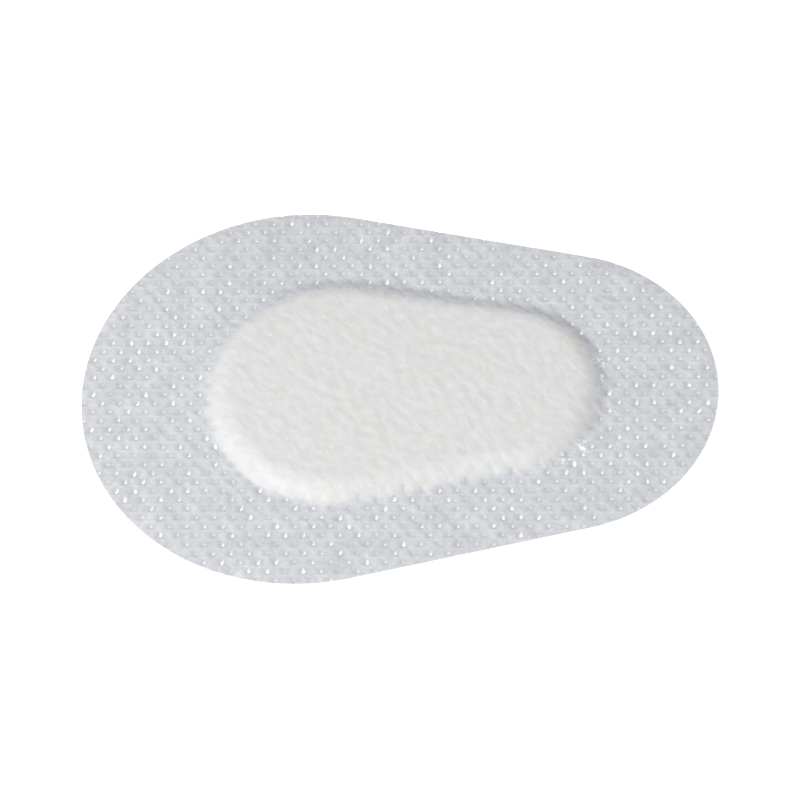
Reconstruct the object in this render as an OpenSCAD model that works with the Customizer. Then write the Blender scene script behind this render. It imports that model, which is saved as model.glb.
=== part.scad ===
// Stick-on eye patch, lying on its release liner with the outer face up.
// +X runs along the patch towards its small end, and +Z away from the skin.
// The origin is at the middle of the outline, on the surface that the liner lies on.

/* [Patch] */
// Length of the patch, from end to end
patch_len = 82; // [70:0.5:100]
// Width of the patch at its widest
patch_w = 57; // [46:0.5:69]
// Radius of the patch's small end
patch_tip_r = 21.4; // [17:0.1:22]
// Thickness of the nonwoven web
web_t = 0.3; // [0.2:0.02:0.4]
// Thickness of the adhesive coat under the web
glue_t = 0.06; // [0.04:0.01:0.1]

/* [Pad] */
// Length of the pad, from end to end
pad_len = 51; // [40:0.5:54]
// Width of the pad at its widest
pad_w = 34; // [28:0.5:41]
// Radius of the pad's small end
pad_tip_r = 12.8; // [10:0.1:14]
// Thickness of the pad's wadding
core_t = 1.5; // [1.2:0.1:2.4]
// Thickness of the non-stick film on the pad's eye side
film_t = 0.12; // [0.08:0.01:0.16]
// How far the pad sits from the middle of the patch, along it
pad_off_x = 0.5; // [-1:0.1:1]
// How far the pad sits from the middle of the patch, across it
pad_off_y = 0.3; // [-1:0.1:1]

/* [Tent of the web over the pad] */
// Clear gap between the pad's edge and the line where the web comes down to the liner
tent_gap = 1.1; // [0.8:0.1:1.5]
// Width of the slope, from that line up to the flat top
slope_run = 3.6; // [2.6:0.1:4.4]

/* [Release liner] */
// Thickness of the liner paper
liner_t = 0.1; // [0.07:0.01:0.14]
// Place of the split between the two liner halves, from the middle of the patch
split_x = 4; // [-10:0.5:12]
// Length of the free tab that the small half tucks under the big half
tab_len = 12; // [8:0.5:15]

/* [Peel] */
// Length of the patch's tail that stays on the liner when the rest is peeled up
tail_len = 9.5; // [6:0.5:11]

/* [Hidden] */

// Steps round the big end and the small end of every egg, and up the slope of the tent
big_steps = 52;
tip_steps = 38;
slope_steps = 6;

// An egg is [radius of the big end, its x, radius of the small end, its x, y of both]
patch_egg = [
  patch_w / 2,
  -patch_len / 2 + patch_w / 2,
  patch_tip_r,
  patch_len / 2 - patch_tip_r,
  0
];
pad_egg = [
  pad_w / 2,
  pad_off_x - pad_len / 2 + pad_w / 2,
  pad_tip_r,
  pad_off_x + pad_len / 2 - pad_tip_r,
  pad_off_y
];

// Heights of the layers, from the surface up
liner_z = liner_t;
skin_z = liner_z + liner_t;
web_z = skin_z + glue_t;
core_z = skin_z + film_t;
dome_h = film_t + core_t;

// Where the web bends when the patch is peeled up, and a length that clears the whole patch
peel_x = patch_len / 2 - tail_len;
beyond = patch_len + patch_w;

web_white = [0.90, 0.91, 0.92];
glue_clear = [0.93, 0.93, 0.88, 0.6];
wadding_white = [0.95, 0.94, 0.91];
film_white = [0.96, 0.96, 0.97];
paper_white = [0.97, 0.97, 0.95];

// Points along an arc, from one angle to another
function arc(x, y, r, from, to, steps) = [
  for (i = [0:steps])
    let (a = from + (to - from) * i / steps)
      [x + r * cos(a), y + r * sin(a)]
];

// Outline of an egg grown by a distance: two round ends with straight sides that touch both
function outline(egg, grow = 0) =
  let (lean = acos((egg[0] - egg[2]) / (egg[3] - egg[1])))
    concat(
      arc(egg[1], egg[4], egg[0] + grow, lean, 360 - lean, big_steps),
      arc(egg[3], egg[4], egg[2] + grow, -lean, lean, tip_steps)
    );

function at_height(points, z) = [for (p = points) [p[0], p[1], z]];
function reversed(list) = [for (i = [len(list) - 1:-1:0]) list[i]];

// Share of the dome's height that the web has reached at a share of the slope's width
function tent(u) = (1 - cos(180 * u)) / 2;

// One ring of the tent, at a share of the slope's width, over a base height
function tent_ring(u, z) =
  at_height(outline(pad_egg, tent_gap - slope_run * u), z + dome_h * tent(u));

// Every ring of the tent from a first share of the slope's width up to the flat top
function tent_rings(z, first = 0) = [
  for (k = [0:slope_steps])
    let (u = k / slope_steps)
      if (u >= first) tent_ring(u, z)
];

// A closed solid through rings of equal point counts, with a flat cap at both ends
module loft(rings) {
  n = len(rings[0]);
  last = len(rings) - 1;
  bands = [
    for (k = [0:last - 1], i = [0:n - 1])
      let (j = (i + 1) % n)
        [k * n + i, (k + 1) * n + i, (k + 1) * n + j, k * n + j]
  ];
  low_cap = [[for (i = [0:n - 1]) i]];
  high_cap = [[for (i = [n - 1:-1:0]) last * n + i]];
  polyhedron([for (ring = rings) each ring], concat(low_cap, bands, high_cap));
}

// A layer of even thickness over the liner and the pad, with its border's underside at z
module layer(z, t) {
  loft(concat(
    reversed(tent_rings(z)),
    [at_height(outline(patch_egg), z)],
    [at_height(outline(patch_egg), z + t)],
    tent_rings(z + t)
  ));
}

// The part of the patch's outline between two places along it, as a flat sheet
module strip(from, to, z, t) {
  translate([0, 0, z])
    linear_extrude(height = t)
      intersection() {
        polygon(outline(patch_egg));
        translate([from, -beyond / 2])
          square([to - from, beyond]);
      }
}

// What lies on the pad's side of the peel line
module peeled_side() {
  intersection() {
    children();
    translate([peel_x - beyond, -beyond / 2, 0])
      cube(beyond);
  }
}

module backing_web() {
  color(web_white)
    peeled_side()
      layer(web_z, web_t);
}

module web_tail() {
  color(web_white)
    strip(peel_x, beyond, web_z, web_t);
}

module adhesive_coat() {
  color(glue_clear)
    peeled_side()
      layer(skin_z, glue_t);
}

module adhesive_tail() {
  color(glue_clear)
    strip(peel_x, beyond, skin_z, glue_t);
}

// The wadding fills the tent above the film, and ends in a low wall at the pad's outline
module pad_core() {
  edge = tent_gap / slope_run;
  color(wadding_white)
    loft(concat(
      [at_height(outline(pad_egg), core_z)],
      [tent_ring(edge, skin_z)],
      tent_rings(skin_z, edge + 0.02)
    ));
}

module pad_film() {
  color(film_white)
    translate([0, 0, skin_z])
      linear_extrude(height = film_t)
        polygon(outline(pad_egg));
}

module liner_big_half() {
  color(paper_white)
    strip(-beyond, split_x, liner_z, liner_t);
}

// The small half steps down at the split and runs on under the big half as a pull tab
module liner_small_half() {
  color(paper_white)
    union() {
      strip(split_x, beyond, liner_z, liner_t);
      strip(split_x - tab_len, split_x + liner_t, 0, liner_t);
    }
}

backing_web();
web_tail();
adhesive_coat();
adhesive_tail();
pad_core();
pad_film();
liner_big_half();
liner_small_half();
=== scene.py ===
import math

import bpy
import numpy as np
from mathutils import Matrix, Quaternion, Vector


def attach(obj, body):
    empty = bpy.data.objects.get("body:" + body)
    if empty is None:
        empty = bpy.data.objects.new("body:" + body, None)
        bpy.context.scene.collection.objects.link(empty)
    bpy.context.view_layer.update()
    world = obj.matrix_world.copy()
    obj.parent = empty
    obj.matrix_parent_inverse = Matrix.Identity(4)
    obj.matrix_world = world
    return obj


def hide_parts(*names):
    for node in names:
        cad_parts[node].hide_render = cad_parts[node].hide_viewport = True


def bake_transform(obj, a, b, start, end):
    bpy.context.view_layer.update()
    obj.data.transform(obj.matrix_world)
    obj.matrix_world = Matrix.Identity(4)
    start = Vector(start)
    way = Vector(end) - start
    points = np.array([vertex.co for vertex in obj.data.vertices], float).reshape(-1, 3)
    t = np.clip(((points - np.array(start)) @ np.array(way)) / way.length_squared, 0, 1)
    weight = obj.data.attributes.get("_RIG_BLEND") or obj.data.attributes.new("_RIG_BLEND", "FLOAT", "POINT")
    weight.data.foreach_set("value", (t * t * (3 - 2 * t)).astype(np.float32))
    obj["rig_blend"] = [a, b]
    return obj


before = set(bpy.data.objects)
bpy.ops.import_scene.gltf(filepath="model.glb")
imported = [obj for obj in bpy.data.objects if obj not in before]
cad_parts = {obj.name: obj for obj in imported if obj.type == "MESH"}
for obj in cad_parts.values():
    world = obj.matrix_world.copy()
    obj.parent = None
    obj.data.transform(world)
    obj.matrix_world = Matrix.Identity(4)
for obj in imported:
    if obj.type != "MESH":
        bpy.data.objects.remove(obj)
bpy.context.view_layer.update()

# An adhesive eye patch on its two-part peel-off liner.
# Lengths are in metres unless a name ends in _mm.
MM = 0.001

# ---------------------------------------------------------------- outlines, as in the part's source
# An egg is its big end's radius and x, its small end's radius and x, and its middle's y.
PATCH_EGG = (28.5 * MM, -12.5 * MM, 21.4 * MM, 19.6 * MM, 0.0)
PAD_EGG = (17.0 * MM, -8.0 * MM, 12.8 * MM, 13.2 * MM, 0.3 * MM)
DOME_HEIGHT = 1.62 * MM
SKIN_HEIGHT = 0.2 * MM
GLUE_THICKNESS = 0.06 * MM
WEB_THICKNESS = 0.3 * MM
FILM_THICKNESS = 0.12 * MM
# A hair of air between two layers, so that no two faces lie in one plane.
HAIR_GAP = 0.002 * MM

# ---------------------------------------------------------------- how the web rises over the pad
FOOT_GAP = 0.8 * MM
SLOPE_SHIFT = (0.3 * MM, 0.0)
SLOPE_RUN = 5.0 * MM
ROUNDING = 1.8
CROWN = 0.10 * MM
CROWN_RUN = 11.0 * MM
# The web bends up from its tail, which stays on the liner, within this stretch beside the pad.
PEEL_START = (0.0317, 0.0, 0.0)
PEEL_END = (0.0270, 0.0, 0.0)

# ---------------------------------------------------------------- the web's punched pattern
PITCH_ALONG = 2.293 * MM
PITCH_ACROSS = 2.683 * MM
ROWS_TURN = math.radians(-1.13)
COLUMNS_TURN = math.radians(0.19)
PATTERN_AT = (-1.64 * MM, -0.80 * MM)
HOLE_AT = (-0.494 * MM, -0.147 * MM)
SCALLOP = 0.06 * MM
WEB_RING_GAP = 0.13 * MM
RIM_SINK = 0.10 * MM
WAVE_HEIGHT = 0.012 * MM

# The cutting die has pressed the web thinner along its cut edge.
EDGE_PRESSED = 0.15 * MM
EDGE_PRESSED_WIDTH = 2.6 * MM

# Where the web is painted darker, in one soft patch: place and spread.
DARKER_PATCH = (-16.0 * MM, 21.0 * MM, 9.0 * MM)

# Painted highlights, bright glint specks at the pad's foot: place and spread.
GLINT_SPOTS = (
    (25.7 * MM, 3.9 * MM, 0.8 * MM),
    (25.9 * MM, 1.6 * MM, 0.7 * MM),
    (23.7 * MM, -8.9 * MM, 1.0 * MM),
    (21.3 * MM, -10.6 * MM, 0.8 * MM),
)

# ---------------------------------------------------------------- the wadding and the film
WADDING_INSET = 0.10 * MM
WADDING_WALL = 0.1 * MM
WADDING_STEPS = [0.12] + [0.26] * 10 + [0.9] * 9
TUFT_HEIGHT = 0.012 * MM
FILM_INSET = 0.08 * MM
FILM_PITCH = 1.7 * MM
FILM_RING_GAP = 0.10 * MM

# How many points go round each end of an outline.
PATCH_CUTS = 84
WADDING_CUTS = 64
FILM_CUTS = 56

# ---------------------------------------------------------------- the web's colours
BORDER_DIM = (0.455, 0.461, 0.493, 1)
BORDER_PALE = (0.562, 0.566, 0.590, 1)
BORDER_TEAL = (0.485, 0.522, 0.532, 1)
BORDER_FIBRE = (0.66, 0.67, 0.69, 1)
BORDER_WISP = (0.70, 0.71, 0.73, 1)
TOP_DIM = (0.590, 0.592, 0.582, 1)
TOP_PALE = (0.604, 0.606, 0.594, 1)
TOP_COOL = (0.592, 0.597, 0.600, 1)
TOP_FIBRE = (0.66, 0.66, 0.65, 1)
RING_SHADE_GREY = (0.40, 0.41, 0.43, 1)
SLOT_PAINTED_SHADE = (0.40, 0.42, 0.44, 1)
LIP_PAINTED_LIGHT = (0.83, 0.84, 0.85, 1)
GLINT_WHITE = (0.92, 0.93, 0.94, 1)
VEIL_PAINTED_LIGHT = (0.80, 0.81, 0.82, 1)

# How much of a shadow ray each layer lets by, as thin cloth and clear glue do.
WEB_LETS_BY = 0.93
ADHESIVE_LETS_BY = 0.985
ADHESIVE_CLEAR = 0.55


def inside_by(x, y, egg):
    """How far each point lies inside an egg outline: two round ends joined by straight sides."""
    big_r, big_x, tip_r, tip_x, middle_y = egg
    along = x - big_x
    aside = np.abs(y - middle_y)
    apart = tip_x - big_x
    lean_sin = (big_r - tip_r) / apart
    lean_cos = math.sqrt(1.0 - lean_sin ** 2)
    reach = along * lean_cos - aside * lean_sin
    to_big = np.hypot(along, aside) - big_r
    to_tip = np.hypot(along - apart, aside) - tip_r
    to_side = aside * lean_cos + along * lean_sin - big_r
    outside = np.where(reach < 0, to_big, np.where(reach > lean_cos * apart, to_tip, to_side))
    return -outside


def egg_points(egg, grow, steps):
    """Points around an egg outline that has been grown by a margin, anticlockwise."""
    big_r, big_x, tip_r, tip_x, middle_y = egg
    lean = math.acos((big_r - tip_r) / (tip_x - big_x))
    around_big = np.linspace(lean, 2 * math.pi - lean, steps)
    around_tip = np.linspace(-lean, lean, steps)
    big_reach = big_r + grow
    tip_reach = tip_r + grow
    big_end = (big_x + big_reach * np.cos(around_big), big_reach * np.sin(around_big) + middle_y)
    tip_end = (tip_x + tip_reach * np.cos(around_tip), tip_reach * np.sin(around_tip) + middle_y)
    return np.hstack([big_end, tip_end]).T


def punch_wave(x, y):
    """1 at every punched place of the web, -1 midway between them."""
    from_x = x - HOLE_AT[0]
    from_y = y - HOLE_AT[1]
    across = (from_y - math.tan(ROWS_TURN) * from_x) / PITCH_ACROSS
    along = (from_x + math.tan(COLUMNS_TURN) * from_y) / PITCH_ALONG
    return np.cos(2 * math.pi * along) * np.cos(2 * math.pi * across)


def lift_share(x, y):
    """0 on the flat border, 1 on top of the pad: steep near the foot, then slowly rounding over."""
    drawn_in = SCALLOP * punch_wave(x, y)
    within = inside_by(x - SLOPE_SHIFT[0], y - SLOPE_SHIFT[1], PAD_EGG)
    share = np.clip((within + FOOT_GAP - drawn_in) / SLOPE_RUN, 0.0, 1.0)
    eased = 1.0 - (1.0 - share) ** ROUNDING
    return (1.0 - np.cos(math.pi * eased)) / 2.0


def dome(x, y):
    """Height that the pad lifts the sheet above the border."""
    inner = np.clip((inside_by(x, y, PAD_EGG) - SLOPE_RUN + FOOT_GAP) / CROWN_RUN, 0.0, 1.0)
    crown = CROWN * (1.0 - (1.0 - inner) ** 2)
    return DOME_HEIGHT * lift_share(x, y) + crown


# ---------------------------------------------------------------- small modelling helpers
def make_active(piece):
    """Selects this piece alone and makes it active."""
    bpy.ops.object.select_all(action="DESELECT")
    piece.select_set(True)
    bpy.context.view_layer.objects.active = piece


def coordinates(piece):
    """Every vertex of a piece, one row each."""
    flat = np.empty(len(piece.data.vertices) * 3)
    piece.data.vertices.foreach_get("co", flat)
    return flat.reshape(-1, 3)


def move_points(piece, points):
    piece.data.vertices.foreach_set("co", np.ascontiguousarray(points, dtype=np.float32).ravel())
    piece.data.update()


def pick(piece, kind, wanted):
    """Selects only the wanted vertices, edges or faces, in object mode."""
    mesh = piece.data
    for part in (mesh.vertices, mesh.edges, mesh.polygons):
        part.foreach_set("select", np.zeros(len(part), dtype=bool))
    getattr(mesh, kind).foreach_set("select", np.asarray(wanted, dtype=bool))
    modes = (kind == "vertices", kind == "edges", kind == "polygons")
    bpy.context.tool_settings.mesh_select_mode = modes
    bpy.ops.object.mode_set(mode="EDIT")


def point_values(piece, name, values):
    """Keeps one number for each vertex, for a material to read."""
    layers = piece.data.attributes
    layer = layers.get(name) or layers.new(name, "FLOAT", "POINT")
    layer.data.foreach_set("value", np.ascontiguousarray(values, dtype=np.float32))


def read_values(piece, name):
    values = np.empty(len(piece.data.vertices), dtype=np.float32)
    piece.data.attributes[name].data.foreach_get("value", values)
    return values


def lay_flat_map(piece, x, y):
    """A UV map that holds each point's place on the flat sheet, in millimetres."""
    mesh = piece.data
    corners = np.empty(len(mesh.loops), dtype=np.int32)
    mesh.loops.foreach_get("vertex_index", corners)
    layer = mesh.uv_layers.get("flat_mm") or mesh.uv_layers.new(name="flat_mm")
    places = np.column_stack([x, y])[corners] / MM
    layer.data.foreach_set("uv", np.ascontiguousarray(places, dtype=np.float32).ravel())


def give_material(piece, material):
    piece.data.materials.clear()
    piece.data.materials.append(material)


def trim_to_egg(piece, egg, grow, steps):
    """Cuts a flat sheet along an egg outline, one straight cut after another."""
    ring = egg_points(egg, grow, steps)
    following = np.roll(ring, -1, axis=0)
    bpy.ops.object.mode_set(mode="EDIT")
    for start, stop in zip(ring, following):
        middle = (start + stop) / 2
        along = (stop - start) / np.hypot(*(stop - start))
        bpy.ops.mesh.select_all(action="SELECT")
        bpy.ops.mesh.bisect(
            plane_co=(middle[0], middle[1], 0.0),
            plane_no=(along[1], -along[0], 0.0),
            clear_outer=True,
            threshold=1e-7,
        )
    bpy.ops.mesh.select_all(action="SELECT")
    bpy.ops.mesh.delete_loose(use_verts=True, use_edges=True, use_faces=False)
    bpy.ops.object.mode_set(mode="OBJECT")


def brick_grid(name, columns, rows, quarter_x, quarter_y, ring_gap):
    """A flat grid in staggered bricks twelve points round, with two smaller rings inset in each."""
    bpy.ops.object.select_all(action="DESELECT")
    bpy.ops.mesh.primitive_grid_add(x_subdivisions=columns, y_subdivisions=rows, size=1.0)
    sheet = bpy.context.active_object
    sheet.name = name
    points = coordinates(sheet)
    across = np.round((points[:, 0] + 0.5) * columns).astype(int)
    upward = np.round((points[:, 1] + 0.5) * rows).astype(int)
    u = (across - columns // 2) * quarter_x
    v = (upward - rows // 2) * quarter_y
    move_points(sheet, np.column_stack([u, v, np.zeros(len(u))]))

    # Joins the small squares into bricks, every other row set over by half a brick.
    ends = np.empty(len(sheet.data.edges) * 2, dtype=np.int32)
    sheet.data.edges.foreach_get("vertices", ends)
    ends = ends.reshape(-1, 2)
    low_i = np.minimum(across[ends[:, 0]], across[ends[:, 1]])
    low_j = np.minimum(upward[ends[:, 0]], upward[ends[:, 1]])
    level = upward[ends[:, 0]] == upward[ends[:, 1]]
    inner_level = level & (low_j % 2 == 1)
    inner_upright = ~level & ((low_i - 2 * ((low_j // 2) % 2)) % 4 != 0)
    rim = (low_i == 0) & ~level | (low_i == columns) | (low_j == 0) & level | (low_j == rows)
    make_active(sheet)
    pick(sheet, "edges", (inner_level | inner_upright) & ~rim)
    bpy.ops.mesh.dissolve_edges(use_verts=False, use_face_split=False)
    bpy.ops.mesh.select_mode(type="FACE")
    bpy.ops.mesh.select_all(action="SELECT")
    bpy.ops.mesh.inset(thickness=ring_gap, use_individual=True)
    bpy.ops.mesh.inset(thickness=ring_gap, use_individual=True)
    bpy.ops.object.mode_set(mode="OBJECT")
    return sheet


def cut_holes(sheet, on_hole, is_open):
    """Takes out the innermost face of every open brick.  Both masks have one value for each vertex."""
    firsts = np.empty(len(sheet.data.polygons), dtype=np.int32)
    sheet.data.polygons.foreach_get("loop_start", firsts)
    totals = np.empty(len(sheet.data.polygons), dtype=np.int32)
    sheet.data.polygons.foreach_get("loop_total", totals)
    corners = np.empty(len(sheet.data.loops), dtype=np.int32)
    sheet.data.loops.foreach_get("vertex_index", corners)
    first_corner = corners[firsts]
    hole_face = (totals > 4) & on_hole[first_corner] & is_open[first_corner]
    pick(sheet, "polygons", hole_face)
    bpy.ops.mesh.delete(type="FACE")
    bpy.ops.object.mode_set(mode="OBJECT")


def punched_sheet(name, egg, pitch_along, pitch_across, turns, origin, hole_shape, ring_gap):
    """A flat sheet at height 0 that covers an egg, in bricks that each have one hole or one dimple.

    turns are the small turns of the rows and of the columns.  hole_shape(x, y, rng) gives, for the
    bricks centred there, each hole's half width, half height, taper and lean, whether it is open, how
    far it has wandered, and how much painted light a closed one shows, or painted shade where negative.
    """
    rng = np.random.RandomState(7)
    quarter_x = pitch_along / 4
    quarter_y = pitch_across / 4
    reach_x = egg[0] - egg[1] + 3 * pitch_along
    reach_y = egg[0] + 3 * pitch_across
    columns = 8 * math.ceil(reach_x / quarter_x / 4)
    rows = 8 * math.ceil(reach_y / quarter_y / 4)
    sheet = brick_grid(name, columns, rows, quarter_x, quarter_y, ring_gap)

    # Finds the brick of every point, and which of its rings the point is on.
    points = coordinates(sheet)
    u, v = points[:, 0], points[:, 1]
    first_u = -(columns // 2) * quarter_x
    first_v = -(rows // 2) * quarter_y
    brick_high = pitch_across / 2
    row = np.floor((v - first_v) / brick_high + 1e-6).astype(int)
    shift = (row % 2) * pitch_along / 2
    column = np.floor((u - first_u - shift) / pitch_along + 1e-6).astype(int)
    centre_u = first_u + shift + (column + 0.5) * pitch_along
    centre_v = first_v + (row + 0.5) * brick_high
    from_u = u - centre_u
    from_v = v - centre_v
    depth = np.minimum(pitch_along / 2 - np.abs(from_u), brick_high / 2 - np.abs(from_v))
    on_hole = np.abs(depth - 2 * ring_gap) < 0.3 * ring_gap
    on_middle = np.abs(depth - ring_gap) < 0.3 * ring_gap

    # Each brick's own hole.
    along_x, along_y = math.cos(turns[0]), math.sin(turns[0])
    aside_x, aside_y = -math.sin(turns[1]), math.cos(turns[1])
    count = (row.max() + 3) * (column.max() + 5)
    number = (row + 1) * (column.max() + 5) + column + 2
    cell_u = np.zeros(count)
    cell_v = np.zeros(count)
    cell_u[number] = centre_u
    cell_v[number] = centre_v
    cell_x = origin[0] + along_x * cell_u + aside_x * cell_v
    cell_y = origin[1] + along_y * cell_u + aside_y * cell_v
    half_wide, half_high, taper, lean, is_open, off_x, off_y, veil = hole_shape(cell_x, cell_y, rng)
    ragged = rng.normal(0.0, 0.12, (count, 12))

    # The twelve points of a brick go evenly round its hole.
    near_side = np.abs(from_u) > pitch_along / 2 - 3.2 * ring_gap
    near_mid = np.abs(from_u) < 0.3 * quarter_x
    level_mid = np.abs(from_v) < 0.3 * quarter_y
    step = np.where(near_mid, 3, np.where(level_mid, 0, np.where(near_side, 1, 2)))
    step = np.where(from_u < 0, 6 - step, step)
    step = np.where(from_v < -0.3 * quarter_y, (12 - step) % 12, step)
    angle = step * math.pi / 6
    rough = 1.0 + ragged[number, step]
    ring_u = half_wide[number] * np.cos(angle) * (1.0 + taper[number] * np.sin(angle)) * rough
    ring_v = half_high[number] * np.sin(angle) * rough
    ring_u = ring_u + lean[number] * ring_v + off_x[number]
    ring_v = ring_v + off_y[number]
    edge_u = np.where(near_side, np.sign(from_u) * pitch_along / 2, from_u)
    edge_v = np.where(level_mid, 0.0, np.sign(from_v) * brick_high / 2)
    edge_u = np.where(level_mid, np.sign(from_u) * pitch_along / 2, edge_u)
    middle_u = ring_u + 0.30 * (edge_u - ring_u)
    middle_v = ring_v + 0.38 * (edge_v - ring_v)
    new_u = centre_u + np.where(on_hole, ring_u, np.where(on_middle, middle_u, from_u))
    new_v = centre_v + np.where(on_hole, ring_v, np.where(on_middle, middle_v, from_v))
    x = origin[0] + along_x * new_u + aside_x * new_v
    y = origin[1] + along_y * new_u + aside_y * new_v

    move_points(sheet, np.column_stack([x, y, np.zeros(len(x))]))
    point_values(sheet, "rim", np.where(on_hole, 1.0, np.where(on_middle, 0.35, 0.0)))
    point_values(sheet, "veil", np.where(on_hole, veil[number], 0.0))
    # Marks the open holes, whose walls the web's material paints paler: painted light.
    point_values(sheet, "lip", on_hole & is_open[number])
    cut_holes(sheet, on_hole, is_open[number])
    return sheet


def give_thickness(sheet, thickness):
    """Makes a flat sheet solid, every point of its upper face straight above one of its lower face."""
    make_active(sheet)
    flat = coordinates(sheet)
    solidify = sheet.modifiers.new("thickness", "SOLIDIFY")
    solidify.thickness = thickness
    solidify.offset = 1.0
    bpy.ops.object.modifier_apply(modifier=solidify.name)
    first_face_high = np.median(coordinates(sheet)[: len(flat), 2]) > thickness / 2
    first = flat + np.array([0.0, 0.0, thickness if first_face_high else 0.0])
    second = flat + np.array([0.0, 0.0, 0.0 if first_face_high else thickness])
    move_points(sheet, np.vstack([first, second]))


def close_up(piece, angle_deg=40.0):
    """Sets normals outward and shades smooth, with the true edges kept sharp."""
    make_active(piece)
    bpy.ops.object.mode_set(mode="EDIT")
    bpy.ops.mesh.select_all(action="SELECT")
    bpy.ops.mesh.normals_make_consistent(inside=False)
    bpy.ops.object.mode_set(mode="OBJECT")
    bpy.ops.object.shade_smooth_by_angle(angle=math.radians(angle_deg))


# ---------------------------------------------------------------- the camera
VIEW_ELEVATION = math.radians(56.31)
VIEW_AZIMUTH = math.radians(4.38)
VIEW_ROLL = math.radians(4.73)
VIEW_DISTANCE = 0.771
LOOK_AT = Vector((0.00014, -0.00115, 0.00056))

back = Vector((
    math.sin(VIEW_AZIMUTH) * math.cos(VIEW_ELEVATION),
    -math.cos(VIEW_AZIMUTH) * math.cos(VIEW_ELEVATION),
    math.sin(VIEW_ELEVATION),
))
camera_data = bpy.data.cameras.new("camera")
camera_data.lens = 270.0
camera_data.sensor_width = 36.0
camera_data.clip_start = 0.01
camera = bpy.data.objects.new("camera", camera_data)
bpy.context.scene.collection.objects.link(camera)
camera.location = LOOK_AT + back * VIEW_DISTANCE
camera.rotation_mode = "QUATERNION"
camera.rotation_quaternion = back.to_track_quat("Z", "Y") @ Quaternion((0.0, 0.0, 1.0), -VIEW_ROLL)
bpy.context.scene.camera = camera


# ---------------------------------------------------------------- material helpers
def new_material(name):
    material = bpy.data.materials.new(name)
    material.use_nodes = True
    material.node_tree.nodes.clear()
    return material, material.node_tree


def node(tree, kind, **settings):
    made = tree.nodes.new(kind)
    for key, value in settings.items():
        setattr(made, key, value)
    return made


def wire(tree, source, target):
    tree.links.new(source, target)


def mapped(tree, source, scale=(1, 1, 1), turn_deg=0.0, shift=(0, 0, 0)):
    mapping = node(tree, "ShaderNodeMapping")
    mapping.inputs["Scale"].default_value = scale
    mapping.inputs["Rotation"].default_value = (0.0, 0.0, math.radians(turn_deg))
    mapping.inputs["Location"].default_value = shift
    wire(tree, source, mapping.inputs["Vector"])
    return mapping.outputs["Vector"]


def lying(tree, source, length, width, turn_deg=0.0, shift=0.0):
    """Coordinates in which a feature of size 1 is this long and this wide, and lies at this angle."""
    mapping = node(tree, "ShaderNodeMapping", vector_type="TEXTURE")
    mapping.inputs["Scale"].default_value = (length, width, 1.0)
    mapping.inputs["Rotation"].default_value = (0.0, 0.0, math.radians(turn_deg))
    mapping.inputs["Location"].default_value = (shift, shift, 0.0)
    wire(tree, source, mapping.inputs["Vector"])
    return mapping.outputs["Vector"]


def noise(tree, source, scale, detail=2.0, roughness=0.5, distortion=0.0):
    made = node(tree, "ShaderNodeTexNoise")
    made.inputs["Scale"].default_value = scale
    made.inputs["Detail"].default_value = detail
    made.inputs["Roughness"].default_value = roughness
    made.inputs["Distortion"].default_value = distortion
    wire(tree, source, made.inputs["Vector"])
    return made.outputs["Fac"]


def maths(tree, operation, a, b=None, clamp=False):
    made = node(tree, "ShaderNodeMath", operation=operation, use_clamp=clamp)
    for slot, value in enumerate((a, b)):
        if value is None:
            continue
        if isinstance(value, (int, float)):
            made.inputs[slot].default_value = value
        else:
            wire(tree, value, made.inputs[slot])
    return made.outputs["Value"]


def stretched(tree, value, low, high, to_low=0.0, to_high=1.0):
    made = node(tree, "ShaderNodeMapRange", clamp=True)
    made.inputs["From Min"].default_value = low
    made.inputs["From Max"].default_value = high
    made.inputs["To Min"].default_value = to_low
    made.inputs["To Max"].default_value = to_high
    wire(tree, value, made.inputs["Value"])
    return made.outputs["Result"]


def mixed_colour(tree, share, first, second, blend="MIX"):
    made = node(tree, "ShaderNodeMix", data_type="RGBA", blend_type=blend)
    factor = [socket for socket in made.inputs if socket.name == "Factor"][0]
    colours = [socket for socket in made.inputs if socket.type == "RGBA"]
    for target, value in zip((factor, *colours), (share, first, second)):
        if isinstance(value, (int, float, tuple)):
            target.default_value = value
        else:
            wire(tree, value, target)
    return [socket for socket in made.outputs if socket.type == "RGBA"][0]


def bumped(tree, height, strength, distance):
    made = node(tree, "ShaderNodeBump")
    made.inputs["Strength"].default_value = strength
    made.inputs["Distance"].default_value = distance
    wire(tree, height, made.inputs["Height"])
    return made.outputs["Normal"]


def mixed_shaders(tree, share, first, second):
    """The first shader where the share is 0, the second where it is 1."""
    blend = node(tree, "ShaderNodeMixShader")
    wire(tree, share, blend.inputs["Fac"])
    wire(tree, first.outputs["BSDF"], blend.inputs[1])
    wire(tree, second.outputs["BSDF"], blend.inputs[2])
    return blend.outputs["Shader"]


def finish_surface(tree, shader):
    output = node(tree, "ShaderNodeOutputMaterial")
    wire(tree, shader, output.inputs["Surface"])


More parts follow.
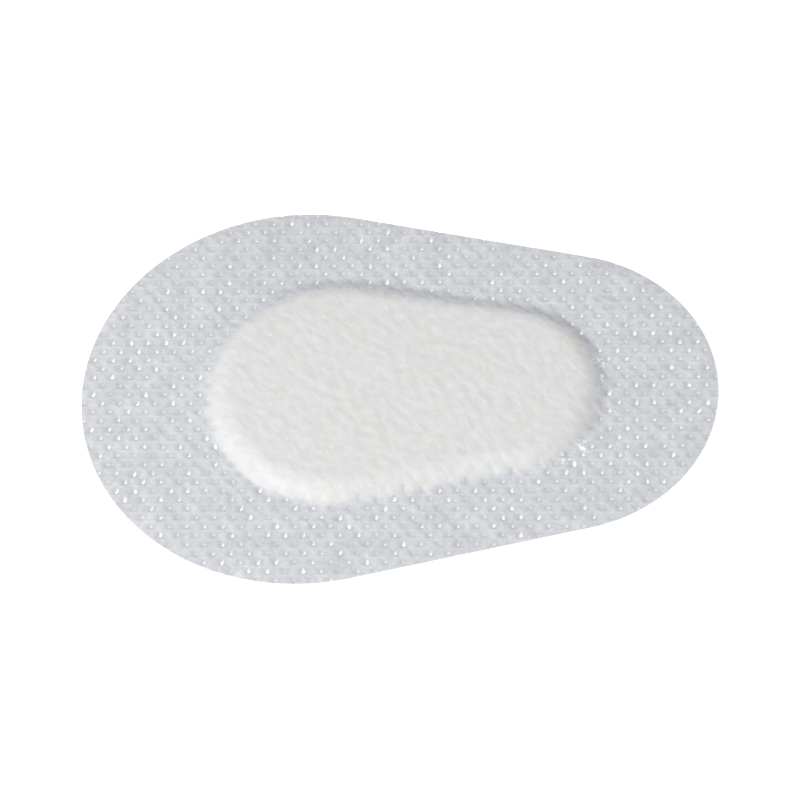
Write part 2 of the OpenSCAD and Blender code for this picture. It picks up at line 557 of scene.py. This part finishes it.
def build_fibre_group():
    """Short wavy fibres lying in three directions: one mask, 1 along each fibre."""
    group = bpy.data.node_groups.new("laid_fibres", "ShaderNodeTree")
    group.interface.new_socket("Vector", in_out="INPUT", socket_type="NodeSocketVector")
    group.interface.new_socket("Mask", in_out="OUTPUT", socket_type="NodeSocketFloat")
    start = node(group, "NodeGroupInput")
    end = node(group, "NodeGroupOutput")
    wander = node(group, "ShaderNodeTexNoise")
    wander.inputs["Scale"].default_value = 0.55
    wander.inputs["Detail"].default_value = 1.0
    wire(group, start.outputs["Vector"], wander.inputs["Vector"])
    centred = node(group, "ShaderNodeVectorMath", operation="SUBTRACT")
    centred.inputs[1].default_value = (0.5, 0.5, 0.5)
    wire(group, wander.outputs["Color"], centred.inputs[0])
    much = node(group, "ShaderNodeVectorMath", operation="SCALE")
    much.inputs["Scale"].default_value = 2.6
    wire(group, centred.outputs["Vector"], much.inputs[0])
    warped = node(group, "ShaderNodeVectorMath", operation="ADD")
    wire(group, start.outputs["Vector"], warped.inputs[0])
    wire(group, much.outputs["Vector"], warped.inputs[1])
    masks = []
    for turn_deg, shift in ((-42.0, 0.0), (14.0, 40.0), (66.0, 90.0)):
        laid = lying(group, warped.outputs["Vector"], 1.5, 0.36, turn_deg, shift)
        wave = noise(group, laid, 1.0, 1.0, 0.5)
        ridge = maths(group, "ABSOLUTE", maths(group, "SUBTRACT", wave, 0.5))
        masks.append(stretched(group, ridge, 0.035, 0.0))
    both = maths(group, "MAXIMUM", masks[0], masks[1])
    every = maths(group, "MAXIMUM", both, masks[2])
    patches = stretched(group, noise(group, start.outputs["Vector"], 0.8, 1.0), 0.38, 0.62)
    wire(group, maths(group, "MULTIPLY", every, patches), end.inputs["Mask"])
    return group


FIBRES = build_fibre_group()


def fibre_mask(tree, source):
    made = node(tree, "ShaderNodeGroup", node_tree=FIBRES)
    wire(tree, source, made.inputs["Vector"])
    return made.outputs["Mask"]


def flat_place(tree):
    """The sheet's own flat coordinates, in millimetres."""
    return node(tree, "ShaderNodeUVMap", uv_map="flat_mm").outputs["UV"]


def attribute(tree, name):
    return node(tree, "ShaderNodeAttribute", attribute_name=name).outputs["Fac"]


def web_base_colour(tree, place, over_pad, cloud, fibres):
    """Cloudy and fibrous on the border, calmer and creamier where the pad shows through."""
    wisps = fibre_mask(tree, mapped(tree, place, (2.1, 2.1, 1.0), 20.0, (31.0, 17.0, 0.0)))
    haze = noise(tree, place, 0.21, 1.5, 0.5, 0.6)

    teal_share = stretched(tree, haze, 0.50, 0.66, 0.0, 0.60)
    border = mixed_colour(tree, cloud, BORDER_DIM, BORDER_PALE)
    border = mixed_colour(tree, teal_share, border, BORDER_TEAL)
    border = mixed_colour(tree, maths(tree, "MULTIPLY", fibres, 0.42), border, BORDER_FIBRE)
    border = mixed_colour(tree, maths(tree, "MULTIPLY", wisps, 0.55), border, BORDER_WISP)

    cool_share = stretched(tree, haze, 0.45, 0.60, 0.0, 0.7)
    top = mixed_colour(tree, cloud, TOP_DIM, TOP_PALE)
    top = mixed_colour(tree, cool_share, top, TOP_COOL)
    top = mixed_colour(tree, maths(tree, "MULTIPLY", fibres, 0.06), top, TOP_FIBRE)
    # The pad colour's edge leans to the lit side: partly the pad showing through, partly painted light and
    # shade.
    return mixed_colour(tree, over_pad, border, top)


def web_brightness(tree, lumps, speckle):
    """Slightly uneven all over, and darker in one soft patch."""
    patchy = stretched(tree, lumps, 0.35, 0.65, 0.97, 1.03)
    fine = stretched(tree, speckle, 0.3, 0.7, 0.985, 1.015)
    # Darker in one soft patch towards the far left.
    thin = stretched(tree, attribute(tree, "thin"), 0.0, 1.0, 1.0, 0.950)
    return maths(tree, "MULTIPLY", maths(tree, "MULTIPLY", patchy, thin), fine)


def web_marks(tree, colour, place, over_pad):
    """Adds painted shade rings round the holes, painted light on the open holes' walls, painted glints at
    the pad's foot, painted light on some closed holes and painted shade in the slots.
    """
    off_pad = maths(tree, "SUBTRACT", 1.0, over_pad)
    rim = attribute(tree, "rim")
    # Painted shade: a grey ring round each hole, left off over the pad.
    ring = maths(tree, "MULTIPLY", stretched(tree, rim, 0.1, 0.45), stretched(tree, rim, 0.95, 0.55))
    ring = maths(tree, "MULTIPLY", ring, off_pad)
    colour = mixed_colour(tree, maths(tree, "MULTIPLY", ring, 0.48), colour, RING_SHADE_GREY)

    # Painted light: the walls of the open holes are painted paler, lifting the shade inside them.
    lip = stretched(tree, attribute(tree, "lip"), 0.92, 0.99, 0.0, 0.65)
    colour = mixed_colour(tree, lip, colour, LIP_PAINTED_LIGHT)

    # Painted highlights: bright glint specks near the pad's foot.
    near_glint = stretched(tree, attribute(tree, "crinkled"), 0.2, 0.8)
    glint_specks = stretched(tree, noise(tree, place, 1.7, 1.5, 0.6), 0.53, 0.57)
    glint_specks = maths(tree, "MULTIPLY", glint_specks, near_glint)
    colour = mixed_colour(tree, glint_specks, colour, GLINT_WHITE)

    # Painted light on some closed holes, and painted shade in the slots where the value is negative.
    veil = attribute(tree, "veil")
    veil_light_strength = stretched(tree, over_pad, 0.0, 1.0, 1.2, 0.4)
    veil_painted_light = maths(tree, "MULTIPLY", veil, veil_light_strength, clamp=True)
    veil_painted_light = maths(tree, "MULTIPLY", veil_painted_light, stretched(tree, rim, 0.70, 1.0))
    colour = mixed_colour(tree, veil_painted_light, colour, VEIL_PAINTED_LIGHT)
    # Painted shade: the slots on the near slope.
    slot = maths(tree, "MULTIPLY", veil, -0.7, clamp=True)
    return mixed_colour(tree, slot, colour, SLOT_PAINTED_SHADE)


def web_material():
    """Thin perforated non-woven, white and slightly uneven, with soft wrinkles over the pad."""
    material, tree = new_material("perforated_nonwoven")
    place = flat_place(tree)
    over_pad = attribute(tree, "over_pad")
    cloud = stretched(tree, noise(tree, place, 0.33, 3.0, 0.55, 0.3), 0.30, 0.70)
    lumps = noise(tree, lying(tree, place, 1.5, 1.0, -40.0), 1.0, 1.2, 0.45, 0.4)
    wrinkles = noise(tree, lying(tree, place, 2.0, 1.2, -49.5), 1.0, 0.5, 0.4, 0.4)
    speckle = noise(tree, place, 3.2, 2.0, 0.6)
    fibres = fibre_mask(tree, place)

    colour = web_base_colour(tree, place, over_pad, cloud, fibres)
    brightness = web_brightness(tree, lumps, speckle)
    colour = mixed_colour(tree, 1.0, colour, brightness, "MULTIPLY")
    colour = web_marks(tree, colour, place, over_pad)

    relief = mixed_colour(tree, over_pad, lumps, wrinkles)
    height = maths(tree, "ADD", relief, maths(tree, "MULTIPLY", fibres, 0.06))
    height = maths(tree, "ADD", height, maths(tree, "MULTIPLY", speckle, 0.04))
    skin = node(tree, "ShaderNodeBsdfPrincipled")
    skin.inputs["Specular IOR Level"].default_value = 0.25
    skin.inputs["Sheen Weight"].default_value = 0.10
    skin.inputs["Sheen Roughness"].default_value = 0.5
    wire(tree, colour, skin.inputs["Base Color"])
    wire(tree, stretched(tree, cloud, 0.0, 1.0, 0.62, 0.50), skin.inputs["Roughness"])
    wire(tree, bumped(tree, height, 0.8, 0.00014), skin.inputs["Normal"])

    through = node(tree, "ShaderNodeBsdfTransparent")
    ray = node(tree, "ShaderNodeLightPath")
    lets_by = maths(tree, "MULTIPLY", ray.outputs["Is Shadow Ray"], WEB_LETS_BY)
    finish_surface(tree, mixed_shaders(tree, lets_by, skin, through))
    return material


def adhesive_material():
    """A clear tacky coat with faint ribs and bubbles."""
    material, tree = new_material("clear_adhesive")
    place = flat_place(tree)
    ribs = noise(tree, lying(tree, place, 2.8, 0.4, 12.0), 1.0, 2.0)
    bubbles = noise(tree, place, 2.4, 2.0, 0.6)
    gel = node(tree, "ShaderNodeBsdfPrincipled")
    gel.inputs["IOR"].default_value = 1.46
    colour = mixed_colour(tree, bubbles, (0.70, 0.71, 0.70, 1), (0.78, 0.78, 0.76, 1))
    wire(tree, colour, gel.inputs["Base Color"])
    wire(tree, stretched(tree, bubbles, 0.3, 0.7, 0.16, 0.34), gel.inputs["Roughness"])
    height = maths(tree, "ADD", ribs, maths(tree, "MULTIPLY", bubbles, 0.5))
    wire(tree, bumped(tree, height, 0.35, 0.00005), gel.inputs["Normal"])
    clear = node(tree, "ShaderNodeBsdfTransparent")
    clear.inputs["Color"].default_value = (0.95, 0.955, 0.95, 1)
    ray = node(tree, "ShaderNodeLightPath")
    shadow_share = maths(tree, "MULTIPLY", ray.outputs["Is Shadow Ray"], ADHESIVE_LETS_BY)
    lets_by = maths(tree, "MAXIMUM", shadow_share, ADHESIVE_CLEAR)
    finish_surface(tree, mixed_shaders(tree, lets_by, gel, clear))
    return material


def wadding_material():
    """Soft white wadding of matted cotton fibres."""
    material, tree = new_material("cotton_wadding")
    place = mapped(tree, node(tree, "ShaderNodeTexCoord").outputs["Object"], (1000, 1000, 1000))
    tufts = noise(tree, place, 0.9, 4.0, 0.6, 0.4)
    fibres = fibre_mask(tree, place)
    tuft_share = stretched(tree, tufts, 0.3, 0.7)
    colour = mixed_colour(tree, tuft_share, (0.76, 0.755, 0.73, 1), (0.86, 0.855, 0.83, 1))
    colour = mixed_colour(tree, maths(tree, "MULTIPLY", fibres, 0.5), colour, (0.90, 0.895, 0.88, 1))
    height = maths(tree, "ADD", tufts, maths(tree, "MULTIPLY", fibres, 0.4))
    wool = node(tree, "ShaderNodeBsdfPrincipled")
    wool.inputs["Specular IOR Level"].default_value = 0.15
    wool.inputs["Sheen Weight"].default_value = 0.35
    wool.inputs["Sheen Roughness"].default_value = 0.6
    wire(tree, colour, wool.inputs["Base Color"])
    wire(tree, stretched(tree, tufts, 0.3, 0.7, 0.95, 0.82), wool.inputs["Roughness"])
    wire(tree, bumped(tree, height, 0.6, 0.00015), wool.inputs["Normal"])
    finish_surface(tree, wool.outputs["BSDF"])
    return material


def film_material():
    """The glossy, finely punched film that faces the eye."""
    material, tree = new_material("perforated_film")
    place = flat_place(tree)
    waves = noise(tree, place, 0.35, 2.0, 0.5)
    fine = noise(tree, place, 4.0, 2.0, 0.6)
    film = node(tree, "ShaderNodeBsdfPrincipled")
    film.inputs["IOR"].default_value = 1.5
    film.inputs["Coat Weight"].default_value = 0.25
    film.inputs["Coat Roughness"].default_value = 0.12
    colour = mixed_colour(tree, fine, (0.60, 0.605, 0.605, 1), (0.70, 0.705, 0.70, 1))
    wire(tree, colour, film.inputs["Base Color"])
    wire(tree, stretched(tree, fine, 0.3, 0.7, 0.18, 0.34), film.inputs["Roughness"])
    height = maths(tree, "ADD", waves, maths(tree, "MULTIPLY", fine, 0.12))
    wire(tree, bumped(tree, height, 0.5, 0.0002), film.inputs["Normal"])
    finish_surface(tree, film.outputs["BSDF"])
    return material


def liner_material():
    """White release paper: smooth silicone face over fine paper fibre."""
    material, tree = new_material("release_paper")
    place = mapped(tree, node(tree, "ShaderNodeTexCoord").outputs["Object"], (1000, 1000, 1000))
    pulp = noise(tree, place, 1.6, 4.0, 0.6)
    cloud = noise(tree, place, 0.18, 2.0, 0.5)
    fibres = fibre_mask(tree, place)
    colour = mixed_colour(tree, cloud, (0.80, 0.80, 0.79, 1), (0.84, 0.84, 0.83, 1))
    colour = mixed_colour(tree, maths(tree, "MULTIPLY", fibres, 0.35), colour, (0.77, 0.77, 0.75, 1))
    paper = node(tree, "ShaderNodeBsdfPrincipled")
    paper.inputs["Specular IOR Level"].default_value = 0.4
    wire(tree, colour, paper.inputs["Base Color"])
    wire(tree, stretched(tree, pulp, 0.3, 0.7, 0.34, 0.50), paper.inputs["Roughness"])
    wire(tree, bumped(tree, pulp, 0.25, 0.00004), paper.inputs["Normal"])
    finish_surface(tree, paper.outputs["BSDF"])
    return material


WEB = web_material()
ADHESIVE = adhesive_material()
WADDING = wadding_material()
FILM = film_material()
LINER = liner_material()


# ---------------------------------------------------------------- the web and its adhesive
def web_holes(x, y, rng):
    """The punched holes: uneven drops, taller than wide, some of them closed again by fibres."""
    count = len(x)
    raised = lift_share(x, y)
    on_top = raised > 0.93
    on_slope = (raised > 0.03) & ~on_top
    near_cut = inside_by(x, y, PATCH_EGG) < 0.75 * MM
    beyond_tip = np.clip((x - 24 * MM) / (6 * MM), 0.0, 1.0)
    size = rng.beta(1.5, 2.0, count)
    half_wide = (0.09 + 0.15 * size + 0.03 * beyond_tip) * MM
    half_high = (0.15 + 0.32 * size + rng.normal(0.0, 0.05, count) + 0.04 * beyond_tip) * MM
    half_high = np.clip(half_high, 0.13 * MM, 0.50 * MM)
    taper = rng.uniform(-0.5, 0.1, count)
    lean = rng.normal(0.03, 0.10, count)
    chance = rng.uniform(size=count)
    open_on_slope = np.where(raised < 0.10, 0.4, 0.0)
    open_share = np.where(on_top, 0.0, np.where(on_slope, open_on_slope, 0.70))
    is_open = (chance < open_share) & ~near_cut
    half_wide = np.where(is_open, half_wide, rng.uniform(0.08, 0.14, count) * MM)
    half_high = np.where(is_open, half_high, rng.uniform(0.12, 0.24, count) * MM)
    slot = on_slope & (raised < 0.35) & (y < -4.0 * MM) & (x < 18.0 * MM)
    half_wide = np.where(slot & ~is_open, 0.11 * MM, half_wide)
    half_high = np.where(slot & ~is_open, 0.36 * MM, half_high)
    # Painted light: some closed holes are painted paler, as if light came through their thin veil.
    veil = np.where(rng.uniform(size=count) < 0.6, rng.uniform(0.10, 0.55, count), 0.0)
    veil = np.where(on_slope, 0.0, veil)
    # Painted shade: the slots on the near slope are painted grey, as shade showing through.
    veil = np.where(slot, -rng.uniform(0.0, 0.9, count), veil)
    veil = np.where(is_open, 0.0, veil)
    off_x = np.clip(rng.normal(0.0, 0.05, count), -0.12, 0.12) * MM
    off_y = np.clip(rng.normal(0.0, 0.04, count), -0.09, 0.09) * MM
    return half_wide, half_high, taper, lean, is_open, off_x, off_y, veil


def pad_tint(x, y):
    """How much of the pad's own white shows through the web, 0 to 1; its edge is moved by painted light and
    shade.
    """
    # Painted light: the paler pad colour reaches further down the near left slope, where the key light
    # falls.
    lit_side_shift = 0.30 * MM * np.clip((24.0 * MM - x) / (6.0 * MM), 0.0, 1.0)
    # Painted shade: on the far side, away from the light, the darker border colour reaches further up the
    # slope.
    far_side_shade = 0.9 * MM * np.clip(y / (13.0 * MM), 0.0, 1.0) ** 2
    shifted_inside = inside_by(x + lit_side_shift, y + 0.35 * MM, PAD_EGG) - far_side_shade
    # Towards the far left the tint fades over a wider strip.
    far_left_spread = np.clip((0.85 * y - 0.5 * x) / (14.0 * MM), 0.0, 1.0)
    foot = np.clip((shifted_inside + 0.10 * MM) / (0.75 * MM + 1.3 * MM * far_left_spread), 0.0, 1.0)
    return foot * foot * (3.0 - 2.0 * foot)


def glint_share(x, y):
    """1 in the middle of each painted glint spot, falling to 0 round it."""
    share = np.zeros(len(x))
    for glint_x, glint_y, spread in GLINT_SPOTS:
        away = np.hypot(x - glint_x, y - glint_y) / spread
        share = np.maximum(share, np.exp(-away ** 2))
    return share


def shape_web(sheet, bottom, thickness, sink, edge_pressed):
    """Lifts a flat sheet over the pad, its hole rims drawn down a little and its cut edge pressed."""
    points = coordinates(sheet)
    x, y = points[:, 0].copy(), points[:, 1].copy()
    is_top = points[:, 2] > thickness / 2
    top_only = np.where(is_top, 1.0, 0.0)
    rim = read_values(sheet, "rim")
    raised = lift_share(x, y)
    short_waves = np.sin(x / (2.1 * MM)) * np.cos(y / (1.7 * MM))
    long_waves = np.sin((x + y) / (3.3 * MM))
    waves = WAVE_HEIGHT * (short_waves + long_waves)
    beside_cut = np.clip(1.0 - inside_by(x, y, PATCH_EGG) / EDGE_PRESSED_WIDTH, 0.0, 1.0)
    high = bottom + dome(x, y) + np.where(is_top, thickness, 0.0)
    high = high - sink * rim * top_only * (1.0 - 0.85 * raised)
    high = high + waves * top_only
    high = high - edge_pressed * beside_cut ** 2 * top_only
    move_points(sheet, np.column_stack([x, y, high]))
    # Pulled tight on the slope, the web has no painted shade ring round its closed holes.
    point_values(sheet, "rim", rim * (1.0 - np.clip(5.0 * raised * (1.0 - raised), 0.0, 1.0)))
    point_values(sheet, "over_pad", pad_tint(x, y))
    point_values(sheet, "crinkled", glint_share(x, y))
    # A soft patch where the web is painted darker.
    from_darker_patch = np.hypot(x - DARKER_PATCH[0], y - DARKER_PATCH[1]) / DARKER_PATCH[2]
    point_values(sheet, "thin", np.exp(-from_darker_patch ** 2))
    lay_flat_map(sheet, x, y)


web = punched_sheet(
    "web_sheet",
    PATCH_EGG,
    PITCH_ALONG,
    PITCH_ACROSS,
    (ROWS_TURN, COLUMNS_TURN),
    PATTERN_AT,
    web_holes,
    WEB_RING_GAP,
)
trim_to_egg(web, PATCH_EGG, 0.0, PATCH_CUTS)

# The adhesive is punched and cut with the web, so it starts as a copy of the flat sheet.
make_active(web)
bpy.ops.object.duplicate()
coat = bpy.context.active_object
coat.name = "adhesive_layer"

web_bottom = SKIN_HEIGHT + GLUE_THICKNESS + HAIR_GAP
give_thickness(web, WEB_THICKNESS)
shape_web(web, web_bottom, WEB_THICKNESS - HAIR_GAP, RIM_SINK, EDGE_PRESSED)
close_up(web)
give_material(web, WEB)

give_thickness(coat, GLUE_THICKNESS)
shape_web(coat, SKIN_HEIGHT, GLUE_THICKNESS - HAIR_GAP, 0.0, 0.0)
close_up(coat)
give_material(coat, ADHESIVE)


# ---------------------------------------------------------------- the pad
def pad_wadding():
    """The wadding pad: a die-cut egg with a low wall, swelling up under the web to a soft crown."""
    ring = egg_points(PAD_EGG, -WADDING_INSET, WADDING_CUTS)
    bpy.ops.object.select_all(action="DESELECT")
    bpy.ops.mesh.primitive_circle_add(vertices=len(ring), radius=PAD_EGG[0], fill_type="NGON")
    pad = bpy.context.active_object
    pad.name = "wadding_pad"
    low = SKIN_HEIGHT + FILM_THICKNESS + 0.004 * MM
    move_points(pad, np.column_stack([ring, np.full(len(ring), low)]))
    make_active(pad)
    bpy.ops.object.mode_set(mode="EDIT")
    bpy.ops.mesh.select_mode(type="FACE")
    bpy.ops.mesh.select_all(action="SELECT")
    bpy.ops.mesh.extrude_region_move(TRANSFORM_OT_translate={"value": (0.0, 0.0, WADDING_WALL)})
    for step_in in WADDING_STEPS:
        bpy.ops.mesh.inset(thickness=step_in * MM, depth=0.0)
    bpy.ops.mesh.poke()
    bpy.ops.object.mode_set(mode="OBJECT")
    points = coordinates(pad)
    x, y = points[:, 0], points[:, 1]
    roof = SKIN_HEIGHT + dome(x, y) - 0.012 * MM
    wandering = x / (0.9 * MM) + 2.0 * np.sin(y / (1.6 * MM))
    tufts = TUFT_HEIGHT * (np.sin(wandering) * np.cos(y / (1.1 * MM)) - 1.0)
    high = np.where(points[:, 2] > low + 0.05 * MM, np.maximum(roof + tufts, low + 0.01 * MM), low)
    move_points(pad, np.column_stack([x, y, high]))
    close_up(pad, 50.0)
    give_material(pad, WADDING)
    return pad


def film_holes(x, y, rng):
    """Small even punctures that let moisture into the pad."""
    count = len(x)
    half = rng.uniform(0.13, 0.17, count) * MM
    still = np.zeros(count)
    is_open = rng.uniform(size=count) < 0.97
    return half, half, still, still, is_open, still, still, still


pad = pad_wadding()
film = punched_sheet(
    "eye_side_film",
    PAD_EGG,
    FILM_PITCH,
    FILM_PITCH,
    (0.0, 0.0),
    (0.0, 0.0),
    film_holes,
    FILM_RING_GAP,
)
trim_to_egg(film, PAD_EGG, -FILM_INSET, FILM_CUTS)
give_thickness(film, FILM_THICKNESS)
points = coordinates(film)
move_points(film, points + np.array([0.0, 0.0, SKIN_HEIGHT]))
lay_flat_map(film, points[:, 0], points[:, 1])
close_up(film)
give_material(film, FILM)

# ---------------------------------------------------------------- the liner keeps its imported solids
for liner_name in ("liner_big_half", "liner_small_half"):
    liner = bpy.data.objects[liner_name]
    for slot in liner.material_slots:
        slot.material = LINER

# ---------------------------------------------------------------- what each piece stands for
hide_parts("backing_web", "web_tail")
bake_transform(web, "liner", "patch", start=PEEL_START, end=PEEL_END)

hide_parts("adhesive_coat", "adhesive_tail")
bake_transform(coat, "liner", "patch", start=PEEL_START, end=PEEL_END)

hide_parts("pad_core")
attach(pad, "patch")

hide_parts("pad_film")
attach(film, "patch")


# ---------------------------------------------------------------- the table top and the light
def table_material():
    """A bright white table top that can be seen through from below."""
    material, tree = new_material("white_table")
    place = node(tree, "ShaderNodeTexCoord").outputs["Object"]
    grain = noise(tree, place, 40.0, 2.0)
    board = node(tree, "ShaderNodeBsdfPrincipled")
    board.inputs["Emission Strength"].default_value = 0.35
    board.inputs["Emission Color"].default_value = (1, 1, 1, 1)
    colour = mixed_colour(tree, grain, (0.90, 0.90, 0.90, 1), (0.93, 0.93, 0.93, 1))
    wire(tree, colour, board.inputs["Base Color"])
    wire(tree, stretched(tree, grain, 0.3, 0.7, 0.85, 0.95), board.inputs["Roughness"])
    clear = node(tree, "ShaderNodeBsdfTransparent")
    side = node(tree, "ShaderNodeNewGeometry")
    finish_surface(tree, mixed_shaders(tree, side.outputs["Backfacing"], board, clear))
    return material


bpy.ops.object.select_all(action="DESELECT")
bpy.ops.mesh.primitive_plane_add(size=3.0, location=(0.0, 0.0, -0.02 * MM))
table = bpy.context.active_object
table.name = "table_top"
table.data.materials.append(table_material())

world = bpy.data.worlds.new("studio")
world.use_nodes = True
world.node_tree.nodes["Background"].inputs["Color"].default_value = (1.0, 1.0, 1.0, 1.0)
world.node_tree.nodes["Background"].inputs["Strength"].default_value = 0.585
bpy.context.scene.world = world


def soft_lamp(name, place, size, power):
    """A round lamp that faces the middle of the table."""
    lamp_data = bpy.data.lights.new(name, "AREA")
    lamp_data.shape = "DISK"
    lamp_data.size = size
    lamp_data.energy = power
    lamp = bpy.data.objects.new(name, lamp_data)
    bpy.context.scene.collection.objects.link(lamp)
    lamp.location = place
    lamp.rotation_mode = "QUATERNION"
    lamp.rotation_quaternion = Vector(place).to_track_quat("Z", "Y")


soft_lamp("key_light", place=(-0.52, -0.48, 0.80), size=0.35, power=10.1)

bpy.context.scene.view_settings.view_transform = "Standard"
